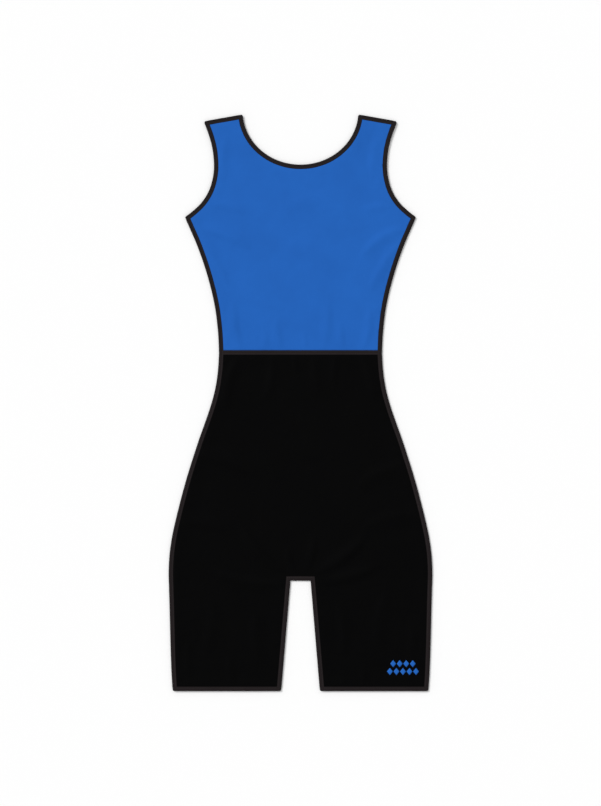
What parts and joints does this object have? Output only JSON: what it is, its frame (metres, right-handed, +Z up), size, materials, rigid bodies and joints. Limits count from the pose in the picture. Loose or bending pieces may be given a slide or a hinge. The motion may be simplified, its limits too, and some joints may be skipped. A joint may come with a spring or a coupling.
{
  "type": "unitard",
  "caption": "Sleeveless scoop-neck unitard with a blue bodice sewn to black mid-thigh shorts, empty and laid flat, face up.",
  "frame": {"origin": "middle of the garment's outline, on the surface that it lies on", "axes": "+Y up the garment towards the neck, +X towards the wearer's left, +Z up out of the garment's front"},
  "size_m": [0.4114, 0.9, 0.0035],
  "materials": {
    "royal_blue_knit": "matt stretch knit with a faint sheen",
    "black_knit": "matt stretch knit with a faint sheen",
    "charcoal_knit": "matt knit binding and tape"
  },
  "bodies": {
    "root": {"bodice_front": "royal_blue_knit", "bodice_back": "royal_blue_knit", "shorts_front": "black_knit", "shorts_back": "black_knit", "neck_binding": "charcoal_knit", "armhole_binding_left": "charcoal_knit", "armhole_binding_right": "charcoal_knit", "shoulder_seam_left": "charcoal_knit", "shoulder_seam_right": "charcoal_knit", "side_seam_left": "charcoal_knit", "side_seam_right": "charcoal_knit", "waist_seam_front": "charcoal_knit", "waist_seam_back": "charcoal_knit", "inseam": "charcoal_knit", "leg_hem_left": "charcoal_knit", "leg_hem_right": "charcoal_knit"}
  },
  "joints": []
}
